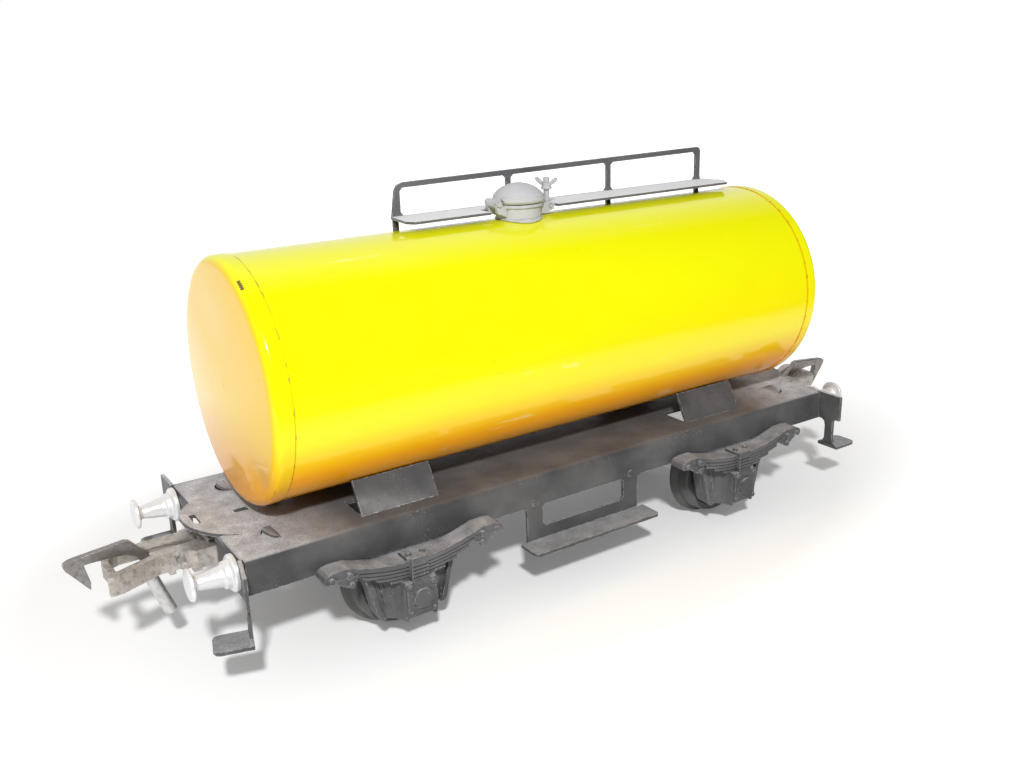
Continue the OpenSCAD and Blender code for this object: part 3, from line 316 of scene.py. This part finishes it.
def shaded_gloss_print(name, high, low, shade_z, shade_blend, gloss, crown=None, chips=()):
    """Gloss yellow print in the high colour, with painted shade laid on it by height and slope: it turns
    golden down towards the given height, takes the low colour below it, and takes the crown colour where
    it faces along the tank. It has hairline scratches and tiny chips. Each of chips is a place, in
    millimetres, about which the print has flaked off to the dark tin, and how far."""
    material, tree, shader, where = new_finish(name)
    split = add(tree, "SeparateXYZ", {"Vector": where.outputs["Object"]})
    # painted shade: towards the bottom the print turns golden, then the low colour, by height alone
    shade_below = between(tree, split.outputs["Z"], (shade_z + shade_blend) * MM, (shade_z - shade_blend) * MM)
    shade_below = maths(tree, "ADD", shade_below, maths(tree, "MULTIPLY", mottle(tree, where, 9), 0.10))
    shade_waist = between(tree, split.outputs["Z"], (shade_z + 12) * MM, (shade_z + shade_blend) * MM)
    high = tint(tree, shade_waist, high, shade_golden)
    # painted shade: faces that look along the tank, the caps' ends, take the crown colour
    if crown:
        looks = add(tree, "SeparateXYZ", {"Vector": where.outputs["Normal"]})
        high = tint(tree, between(tree, size_of(tree, looks.outputs["X"]), 0.55, 0.97), high, crown)
    colour = tint(tree, shade_below, high, low)
    stretched = add(tree, "Mapping", {"Vector": where.outputs["Object"], "Rotation": (0.1, 0.2, 0.15),
                                      "Scale": (60, 1100, 700)})
    hair = add(tree, "TexNoise", {"Vector": stretched.outputs["Vector"], "Scale": 1.0, "Detail": 3.0})
    patches = between(tree, mottle(tree, where, 6), 0.52, 0.66)
    scratch = maths(tree, "MULTIPLY", between(tree, hair.outputs["Fac"], 0.68, 0.73), patches)
    colour = tint(tree, maths(tree, "MULTIPLY", scratch, 0.5), colour, pale_scratch)
    grit = maths(tree, "MULTIPLY", between(tree, mottle(tree, where, 0.35, 3), 0.70, 0.74),
                 between(tree, mottle(tree, where, 8), 0.5, 0.62))
    colour = tint(tree, maths(tree, "MULTIPLY", grit, 0.6), colour, brown_grit)
    edge = edges(tree, 0.14, 0.90, 0.985)
    worn = maths(tree, "MULTIPLY", edge, between(tree, mottle(tree, where, 0.9, 5), 0.50, 0.60))
    colour = tint(tree, worn, colour, worn_brown)
    for place, reach in chips:
        away = add(tree, "VectorMath", {0: where.outputs["Object"], 1: Vector(place) * MM},
                   operation="DISTANCE").outputs["Value"]
        ragged = maths(tree, "MULTIPLY", mottle(tree, where, 0.5, 3), 0.3 * reach * MM)
        flaked = between(tree, maths(tree, "ADD", away, ragged), reach * MM, 0.85 * reach * MM)
        colour = tint(tree, flaked, colour, flaked_tin)
    tree.links.new(colour, shader.inputs["Base Color"])
    rough = between(tree, mottle(tree, where, 3.0), 0.3, 0.7, 0.12, 0.20)
    tree.links.new(rough, shader.inputs["Roughness"])
    shader.inputs["Specular IOR Level"].default_value = 0.2
    shader.inputs["Coat Weight"].default_value = gloss
    shader.inputs["Coat IOR"].default_value = 1.6
    shader.inputs["Coat Roughness"].default_value = 0.05
    relief(tree, shader, mottle(tree, where, 2.5, 2), 0.04, 0.25)
    return material


def dented(across, along, dents):
    """Depth in millimetres at each point: the sum over dents of depth * exp(-u^2 - v^2), where u and v
    are the distances from the dent's middle over its two half widths."""
    u = (across[..., None] - dents[:, 0]) / dents[:, 2]
    v = (along[..., None] - dents[:, 1]) / dents[:, 3]
    return (dents[:, 4] * np.exp(-u * u - v * v)).sum(-1)


def lattice(rows, columns):
    """Faces of a grid whose columns run round and meet, each row following the one before."""
    i, j = np.meshgrid(np.arange(rows - 1), np.arange(columns), indexing="ij")
    k = (j + 1) % columns
    faces = np.stack((i * columns + j, i * columns + k, (i + 1) * columns + k, (i + 1) * columns + j), -1)
    return faces.reshape(-1, 4)


def extruded(outline, low, high):
    """Points and faces of a closed outline in Y and Z carried along X from low to high."""
    count = len(outline)
    ends = np.repeat((low, high), count)[:, None]
    verts = np.hstack((ends, np.tile(outline, (2, 1))))
    ring = np.arange(count)
    after = (ring + 1) % count
    walls = np.stack((ring, after, after + count, ring + count), -1)
    return verts, walls.tolist() + [ring[::-1].tolist(), (ring + count).tolist()]


def barrel_sheet():
    """The tube r(x) = tank_r, less the joggle beyond tank_hl, pushed in by its dents, with a round hatch
    cut out of its top, whose nearest points are drawn onto the circle; its wall goes inwards."""
    shoulder, first_row, middle_row = tank_hl - 0.02, tank_hl - 0.3, 0.2
    ends = (tank_hl + overlap, tank_hl + overlap / 2, tank_hl + joggle_run, shoulder)
    half = np.concatenate((ends, np.linspace(first_row, middle_row, barrel_rows // 2 - len(ends))))
    x = np.concatenate((-half, half[::-1]))
    angle = np.linspace(0, 2 * np.pi, barrel_columns, endpoint=False)
    x, angle = np.meshgrid(x, angle, indexing="ij")
    r = tank_r - joggle * np.clip((abs(x) - tank_hl) / joggle_run, 0, 1)
    r = r - dented(x, angle, barrel_dents) * (abs(x) < tank_hl)
    verts = np.stack((x + tank_x, -r * np.sin(angle), tank_z + r * np.cos(angle)), -1).reshape(-1, 3)
    faces = lattice(barrel_rows, barrel_columns)
    flat = verts[:, :2] - (hatch_x, hatch_y)
    far_off = 99
    reach = np.hypot(flat[:, 0], flat[:, 1]) + far_off * (verts[:, 2] < tank_z)
    open_faces = reach[faces].mean(1) < hatch_bore
    rim = np.intersect1d(faces[open_faces], faces[~open_faces])
    verts[rim, :2] = flat[rim] * (hatch_bore / reach[rim])[:, None] + (hatch_x, hatch_y)
    verts[rim, 2] = tank_z + np.sqrt(tank_r ** 2 - verts[rim, 1] ** 2)
    mesh = bpy.data.meshes.new("barrel_sheet")
    mesh.from_pydata(verts.tolist(), [], faces[~open_faces].tolist())
    return worked(mesh, ("SOLIDIFY", {"thickness": gauge, "offset": -1}), crease=50)


def leg_strip(middle):
    """One leg: a strip straight down through the deck, its foot folded towards the far side, as an
    outline in Y and Z carried along X over leg_w."""
    top, foot, thick, length = tank_z - tank_r + 0.2, 13.6, 0.4, 1.4
    back, outer_bend, inner_bend = -0.2, 0.12, 0.1
    front = back + thick
    outline = np.array(((back, top), (back, foot + outer_bend), (back + outer_bend, foot),
                        (back + length, foot), (back + length, foot + thick),
                        (front + inner_bend, foot + thick), (front, foot + thick + inner_bend),
                        (front, top)))
    verts, faces = extruded(outline, middle - leg_w / 2, middle + leg_w / 2)
    mesh = bpy.data.meshes.new("leg")
    mesh.from_pydata(verts.tolist(), [], faces)
    return broken_edges(mesh, leg_edge)


# the barrel's print carries painted shade: golden, then deep amber, towards the bottom
shaded_yellow_print = shaded_gloss_print("shaded_yellow_print", lemon, shade_amber, barrel_shade_z, barrel_shade_blend, gloss=0.35)
settle("barrel", barrel_sheet(), "tank_barrel", shaded_yellow_print)
for end, side in (("left", -1), ("right", 1)):
    settle(f"barrel_leg_{end}", leg_strip(tank_x + side * leg_x), "tank_barrel", shaded_yellow_print)

# ---------------------------------------------------------------- tank end caps
# Two shallow drawn caps pushed over the barrel's joggled ends: a straight skirt, a
# rounded rim and a low crown. The left one is dented low down and chipped on its rim.

slip, rim_clear = 0.05, 0.1
cap_r = tank_r - joggle + gauge + slip
skirt_x, skirt_l, rim_r, crown_h = tank_hl + joggle_run, 1.0, 1.1, 0.5
rim_turn = radians(77.4)
skirt_rows, rim_rows, crown_rows, cap_columns = 5, 16, 30, 192
# painted shade: the caps' print turns deep amber low down
cap_shade_below = (0.86, 0.36, 0.004, 1)
# painted shade: a warmer, darker tone for the cap faces, which turn away from the key lamp
cap_face_shade = (0.86, 0.56, 0.002, 1)
cap_shade_z, cap_shade_blend = tank_z - 7, 4
chip_x, chip_r, chip_reach = -37.0, 13.17, 0.27
chip_turns = np.radians((27.5, 29, 30.5, 32))


def cap_sheet(side, dents):
    """A profile turned about the tank's axis: the skirt at cap_r, the rim an arc of rim_r, then the crown
    x = crown_h * (1 - u^2), with u from 1 at the rim's end to 0 at the pole; dents push it along the
    axis, and its wall goes inwards."""
    arc = np.linspace(0, rim_turn, rim_rows)
    u = np.linspace(1, 0, crown_rows)[1:-1]
    flat_r = cap_r - rim_r + rim_r * np.cos(rim_turn)
    rim_end = skirt_x + skirt_l + rim_r * np.sin(rim_turn)
    r = np.concatenate((np.full(skirt_rows, cap_r), cap_r - rim_r + rim_r * np.cos(arc), flat_r * u))
    x = np.concatenate((np.linspace(skirt_x, skirt_x + skirt_l, skirt_rows, endpoint=False),
                        skirt_x + skirt_l + rim_r * np.sin(arc), rim_end + crown_h * (1 - u * u)))
    angle = np.linspace(0, 2 * np.pi, cap_columns, endpoint=False)
    rows = len(r)
    r, angle = np.meshgrid(r, angle, indexing="ij")
    y, z = -side * r * np.sin(angle), r * np.cos(angle)
    x = x[:, None] - dented(y, z, dents) * (r < cap_r - rim_clear)
    verts = np.stack((tank_x + side * x, y, tank_z + z), -1).reshape(-1, 3)
    pole = len(verts)
    verts = np.vstack((verts, (tank_x + side * (rim_end + crown_h), 0, tank_z)))
    last = (rows - 1) * cap_columns + np.arange(cap_columns)
    fan = np.stack((last, np.roll(last, -1), np.full(cap_columns, pole)), -1)
    mesh = bpy.data.meshes.new("cap_sheet")
    mesh.from_pydata(verts.tolist(), [], lattice(rows, cap_columns).tolist() + fan.tolist())
    return worked(mesh, ("SOLIDIFY", {"thickness": gauge, "offset": -1}), crease=50)


rim_chips = [((chip_x, -chip_r * np.sin(turn), tank_z + chip_r * np.cos(turn)), chip_reach)
             for turn in chip_turns]
# the caps' print carries painted shade: deep amber low down and a warmer tone on their faces
shaded_cap_print = shaded_gloss_print("shaded_cap_print", lemon, cap_shade_below, cap_shade_z, cap_shade_blend, gloss=0.18,
                        crown=cap_face_shade, chips=rim_chips)
# each row: the dent's middle across the cap and up it, its two half widths, its depth
left_dents = np.array(((-7.5, -8.5, 2.6, 2.0, 0.25), (3.5, 6.5, 5.0, 3.0, 0.15),
                       (-4.0, 2.0, 6.0, 5.0, 0.10)))
right_dents = np.array(((5.0, -4.0, 4.0, 5.0, 0.15), (-5.5, 6.0, 4.0, 3.0, 0.12)))
settle("cap_left", cap_sheet(-1, left_dents), "tank_cap_left", shaded_cap_print)
settle("cap_right", cap_sheet(1, right_dents), "tank_cap_right", shaded_cap_print)

# ---------------------------------------------------------------- walkway and railing
# One strip of thin sheet: the walkway, with the railing bent up out of its far
# edge. Its posts' feet are pushed through slots in the barrel.

# painted sheen: the strip's upward faces are laid almost wholly in near white, standing in for the sheen
# on its top
dark_strip = worn_enamel("dark_strip", base=(0.10, 0.097, 0.105, 1), dulled=(0.14, 0.136, 0.145, 1),
                         dust_and_sheen=(0.92, 0.91, 0.92, 1), metal=rubbed_tin, dust_share=1.0, thinnest=0.95,
                         smallest=0.85)
strip_edge = 0.06
settle("walkway_strip", broken_edges(joined("walkway_railing"), strip_edge), "walkway_railing",
       dark_strip)

# ---------------------------------------------------------------- manhole
# Castings painted light grey: a neck with hinge lugs and a bolt fork, a domed lid on
# a pin, and a swing bolt with a wing nut that clamps the lid.

grey_paint = worn_enamel("grey_paint", base=(0.44, 0.44, 0.46, 1), dulled=(0.52, 0.52, 0.54, 1),
                         dust_and_sheen=(0.60, 0.59, 0.60, 1), metal=(0.34, 0.27, 0.22, 1), dust_share=0.6,
                         moulded=True)


def cast(mesh, cube, rounds, lump):
    """The solid as a casting: its skin laid again on cubes of that many millimetres, each point then
    drawn rounds times towards the mean of its neighbours, and pushed in and out by clouds that span
    lump millimetres."""
    clouds = bpy.data.textures.get("clouds") or bpy.data.textures.new("clouds", "CLOUDS")
    clouds.noise_scale = 1.1
    clouds.noise_depth = 3
    return worked(mesh, ("REMESH", {"mode": "VOXEL", "voxel_size": cube}),
                  ("SMOOTH", {"factor": 0.5, "iterations": rounds}),
                  ("DISPLACE", {"texture": clouds, "texture_coords": "LOCAL", "strength": lump,
                                "mid_level": 0.5}))


for node, name in (("manhole_neck", "neck_casting"), ("manhole_lid", "lid_casting"),
                   ("lid_swing_bolt", "bolt_casting"), ("lid_wing_nut", "nut_casting")):
    settle(name, cast(joined(node), cube=0.06, rounds=4, lump=0.05), node, grey_paint)
dress("lid_hinge_pin", grey_paint)

# ---------------------------------------------------------------- axle guards
# Zinc castings: a laminated spring over an axle box, one at each end of both axles,
# pegged into the solebar. Blackened, with bright rubbed corners.

blackened_zinc = worn_enamel("blackened_zinc", base=(0.066, 0.066, 0.070, 1),
                             dulled=(0.135, 0.132, 0.137, 1), dust_and_sheen=(0.46, 0.46, 0.49, 1),
                             metal=(0.50, 0.49, 0.50, 1), dust_share=0.85, wear_width=0.10, moulded=True)
half_base = 24
spring_z, spring_r, leaf_reach = 10.4, 22.43, 7.5
main_leaf, leaf_pitch = 0.6, 0.42
# near black for the painted shade between the spring's leaves
spring_front, leaf_gap_shade = 14.0, (0.006, 0.006, 0.007, 1)


def painted_leaf_gaps(material, middle, rise, radius, main, pitch, longest):
    """Painted shade in the gaps between the spring's leaves, drawn as dark lines on its front edge: with r
    the distance from the centre of the leaves' arcs, at |x| = middle and z = rise + radius, a line lies
    wherever (r - radius - main) / pitch is whole, from the main leaf to the fifth."""
    tree = material.node_tree
    shader = tree.nodes["Principled BSDF"]
    where = add(tree, "TexCoord")
    split = add(tree, "SeparateXYZ", {"Vector": where.outputs["Object"]})
    looks = add(tree, "SeparateXYZ", {"Vector": where.outputs["Normal"]})
    along = add(tree, "Math", {0: size_of(tree, split.outputs["X"]), 1: middle * MM},
                operation="SUBTRACT").outputs["Value"]
    above = add(tree, "Math", {0: split.outputs["Z"], 1: (rise + radius) * MM}, operation="SUBTRACT")
    arm = add(tree, "CombineXYZ", {"X": along, "Z": above.outputs["Value"]})
    r = add(tree, "VectorMath", {0: arm.outputs["Vector"]}, operation="LENGTH").outputs["Value"]
    count = add(tree, "MapRange", {"Value": r, "From Min": (radius + main) * MM,
                                   "From Max": (radius + main + 4 * pitch) * MM, "To Min": 0.0,
                                   "To Max": 4.0}, clamp=False).outputs["Result"]
    off = add(tree, "Math", {0: count, 1: 1.0}, operation="PINGPONG").outputs["Value"]
    off = add(tree, "Math", {0: off, 1: 0.5}, operation="SUBTRACT").outputs["Value"]
    gap_shade = between(tree, size_of(tree, off), 0.30, 0.44)
    for value, low, high in ((count, -0.3, -0.2), (count, 3.9, 3.6),
                             (size_of(tree, along), longest * MM, (longest - 0.4) * MM),
                             (size_of(tree, looks.outputs["Y"]), 0.5, 0.8),
                             (size_of(tree, split.outputs["Y"]), spring_front * MM,
                              (spring_front + 0.2) * MM)):
        gap_shade = maths(tree, "MULTIPLY", gap_shade, between(tree, value, low, high))
    below = shader.inputs["Base Color"].links[0].from_socket
    tree.links.new(tint(tree, gap_shade, below, leaf_gap_shade), shader.inputs["Base Color"])


# painted shade: dark lines in the gaps between the spring's leaves
painted_leaf_gaps(blackened_zinc, half_base, spring_z, spring_r, main_leaf, leaf_pitch, leaf_reach)
# one casting serves all four places, turned half round for the far side
first_guard = cast(joined("axle_guard_left_near"), cube=0.09, rounds=2, lump=0.12)
first_low, first_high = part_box("axle_guard_left_near")
for end in ("left", "right"):
    for side in ("near", "far"):
        low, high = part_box(f"axle_guard_{end}_{side}")
        way = np.array((1, 1, 1) if side == "near" else (-1, -1, 1))
        guard = first_guard.copy()
        guard.vertices.foreach_set("co", ((points(guard) - (first_low + first_high) / 2) * way
                                          + (low + high) / 2).astype(np.float32).ravel())
        guard.update()
        settle(f"guard_casting_{end}_{side}", guard, f"axle_guard_{end}_{side}", blackened_zinc)

# ---------------------------------------------------------------- wheelsets
# Dark zinc wheels with a flange, pressed on a steel axle whose turned-down ends
# run in the guards.

wheel_zinc = worn_enamel("wheel_zinc", base=(0.06, 0.06, 0.062, 1), dulled=(0.11, 0.108, 0.105, 1),
                         dust_and_sheen=(0.16, 0.155, 0.15, 1), metal=(0.45, 0.44, 0.43, 1), dust_share=0.3,
                         wear_width=0.12)
wheel_edge = 0.10


def metal(name, colour, dark, rough, grain, bump, bareness=1.0):
    """Bare or plated metal: a cloudy tone, uneven gloss and a fine grain."""
    material, tree, shader, where = new_finish(name)
    cloud = between(tree, mottle(tree, where, 1.2), 0.3, 0.7)
    stain = between(tree, mottle(tree, where, 0.6, 8, 0.7), 0.48, 0.62, 0.0, 0.6)
    tone = tint(tree, maths(tree, "MAXIMUM", maths(tree, "MULTIPLY", cloud, 0.4), stain), colour, dark)
    tree.links.new(tone, shader.inputs["Base Color"])
    shader.inputs["Metallic"].default_value = bareness
    tree.links.new(between(tree, mottle(tree, where, 0.8), 0.3, 0.7, rough, rough + 0.18),
                   shader.inputs["Roughness"])
    relief(tree, shader, mottle(tree, where, grain, 4), bump, 0.6)
    return material


turned_steel = metal("turned_steel", colour=(0.42, 0.41, 0.40, 1), dark=(0.18, 0.16, 0.15, 1),
                     rough=0.32, grain=0.2, bump=0.02)
for end in ("left", "right"):
    dress(f"axle_{end}", turned_steel)
    for side in ("near", "far"):
        settle(f"wheel_casting_{end}_{side}", broken_edges(joined(f"wheel_{end}_{side}"), wheel_edge),
               f"wheel_{end}_{side}", wheel_zinc)

# ---------------------------------------------------------------- buffers
# Four buffers, each turned in one piece from collar to head and riveted through an
# end beam by its thin shank. They are bright tinned, so nearly white.

bright_turned = metal("bright_turned", colour=(0.84, 0.84, 0.85, 1), dark=(0.70, 0.70, 0.71, 1),
                      rough=0.40, grain=0.3, bump=0.01, bareness=0.45)
buffer_edge = 0.07
for end in ("left", "right"):
    for side in ("near", "far"):
        settle(f"turned_buffer_{end}_{side}", broken_edges(joined(f"buffer_{end}_{side}"), buffer_edge),
               f"buffer_{end}_{side}", bright_turned)

# ---------------------------------------------------------------- couplers
# A brown-grey zinc casting with a loop, swinging on a rivet in the deck, and a
# blanked steel hook on a cross pin, lifted by the plated pin that hangs from it.

raw_zinc = metal("raw_zinc", colour=(0.60, 0.56, 0.52, 1), dark=(0.17, 0.145, 0.12, 1),
                 rough=0.42, grain=0.35, bump=0.12, bareness=0.8)
dark_steel = metal("dark_steel", colour=(0.36, 0.34, 0.33, 1), dark=(0.15, 0.13, 0.125, 1),
                   rough=0.36, grain=0.3, bump=0.04)
plated_pin = metal("plated_pin", colour=(0.72, 0.72, 0.72, 1), dark=(0.40, 0.39, 0.38, 1),
                   rough=0.34, grain=0.25, bump=0.05)
pin_edge = 0.08
for end in ("left", "right"):
    settle(f"coupler_casting_{end}", cast(joined(f"coupler_body_{end}"), cube=0.07, rounds=4, lump=0.08),
           f"coupler_body_{end}", raw_zinc)
    settle(f"hook_blank_{end}", cast(joined(f"coupler_hook_{end}"), cube=0.06, rounds=4, lump=0.03),
           f"coupler_hook_{end}", dark_steel)
    dress(f"hook_pin_{end}", turned_steel)
    settle(f"lifting_pin_{end}", broken_edges(joined(f"release_pin_{end}"), pin_edge),
           f"release_pin_{end}", plated_pin)
    dress(f"coupler_rivet_{end}", turned_steel)

# ---------------------------------------------------------------- table, light and camera
# A plain white table and white surroundings, a small close lamp from the near left
# and above, which draws the shadows, and a wide weak one at the left end.

table_half = 1.5
table_tone, table_lift = 0.96, 0.12
warm_share = 0.985
dark_room = (0.03, 0.03, 0.03, 1)
dark_from, dark_to = -0.035, -0.075
oval_place, oval_scale = (0, -0.01, 0), (0.6, 1, 1)
glow_near, glow_far = 0.036, 0.08
room_light, front_glint = 0.36, 0.03


def plain_white(name, tone, lift):
    """White board that keeps shadows. Where the camera or a reflection sees it, it glows by lift within
    an oval about the wagon and fully far away; reflections see a dark room in front of it."""
    material, tree, shader, where = new_finish(name)
    warm = (tone * warm_share, tone * warm_share, tone * (warm_share - 0.005), 1)
    colour = tint(tree, mottle(tree, where, 60), (tone, tone, tone, 1), warm)
    ray = add(tree, "LightPath")
    split = add(tree, "SeparateXYZ", {"Vector": where.outputs["Object"]})
    in_front = maths(tree, "MULTIPLY", between(tree, split.outputs["Y"], dark_from, dark_to),
                     ray.outputs["Is Glossy Ray"])
    colour = tint(tree, in_front, colour, dark_room)
    tree.links.new(colour, shader.inputs["Base Color"])
    shader.inputs["Roughness"].default_value = 0.9
    shader.inputs["Emission Color"].default_value = (1, 1, 1, 1)
    seen = maths(tree, "ADD", ray.outputs["Is Camera Ray"], ray.outputs["Is Glossy Ray"])
    seen = maths(tree, "SUBTRACT", seen, in_front)
    oval = add(tree, "Mapping", {"Vector": where.outputs["Object"], "Location": oval_place,
                                 "Scale": oval_scale})
    far = add(tree, "VectorMath", {0: oval.outputs["Vector"]}, operation="LENGTH")
    glow = between(tree, far.outputs["Value"], glow_near, glow_far, lift, 1.0)
    tree.links.new(maths(tree, "MULTIPLY", seen, glow), shader.inputs["Emission Strength"])
    return material


def board(name, corners, material):
    """A flat quad through four corners."""
    mesh = bpy.data.meshes.new(name)
    mesh.from_pydata(corners, [], [(0, 1, 2, 3)])
    mesh.materials.append(material)
    piece = bpy.data.objects.new(name, mesh)
    bpy.context.scene.collection.objects.link(piece)


board("table", [(x * table_half, y * table_half, 0) for x, y in ((-1, -1), (1, -1), (1, 1), (-1, 1))],
      plain_white("white_board", table_tone, table_lift))


def softbox(name, towards, distance, size, power):
    """A square area lamp seen from the wagon in the direction towards, aimed at the tank."""
    lamp = bpy.data.lights.new(name, "AREA")
    lamp.shape = "SQUARE"
    lamp.size = size
    lamp.energy = power
    holder = bpy.data.objects.new(name, lamp)
    bpy.context.scene.collection.objects.link(holder)
    direction = Vector(towards).normalized()
    target = Vector((0, 0, 0.02))
    holder.location = target + direction * distance
    holder.rotation_euler = direction.to_track_quat("Z", "Y").to_euler()


softbox("key", towards=(-0.124, -0.207, 0.187), distance=0.305, size=0.018, power=0.76)
softbox("end_fill", towards=(-1.0, -0.25, 0.35), distance=0.6, size=0.5, power=0.3)

world = bpy.data.worlds.new("white_room")
world.use_nodes = True
bpy.context.scene.world = world
tree = world.node_tree
background = tree.nodes["Background"]
background.inputs["Color"].default_value = (1, 1, 1, 1)
ray = add(tree, "LightPath")
towards = add(tree, "SeparateXYZ", {"Vector": add(tree, "TexCoord").outputs["Generated"]})
mirrored = between(tree, towards.outputs["Y"], 0.0, 0.5, front_glint, 1.0)
seen = maths(tree, "MAXIMUM", ray.outputs["Is Camera Ray"], ray.outputs["Is Transmission Ray"])
seen = maths(tree, "MAXIMUM", seen, maths(tree, "MULTIPLY", ray.outputs["Is Glossy Ray"], mirrored))
lit = maths(tree, "MULTIPLY", ray.outputs["Is Diffuse Ray"], room_light)
tree.links.new(maths(tree, "MAXIMUM", seen, lit), background.inputs["Strength"])

camera = bpy.data.cameras.new("camera")
camera.lens = 35.84
camera.sensor_width = 36
camera.clip_start = 0.005
viewer = bpy.data.objects.new("camera", camera)
bpy.context.scene.collection.objects.link(viewer)
right = Vector((0.8316, -0.5547, -0.0286))
up = Vector((0.1959, 0.2447, 0.9496))
forward = Vector((0.5197, 0.7953, -0.3121))
stand = Vector((-68.004, -101.011, 61.137)) * MM
viewer.matrix_world = Matrix.Translation(stand) @ Matrix((right, up, -forward)).transposed().to_4x4()
bpy.context.scene.camera = viewer
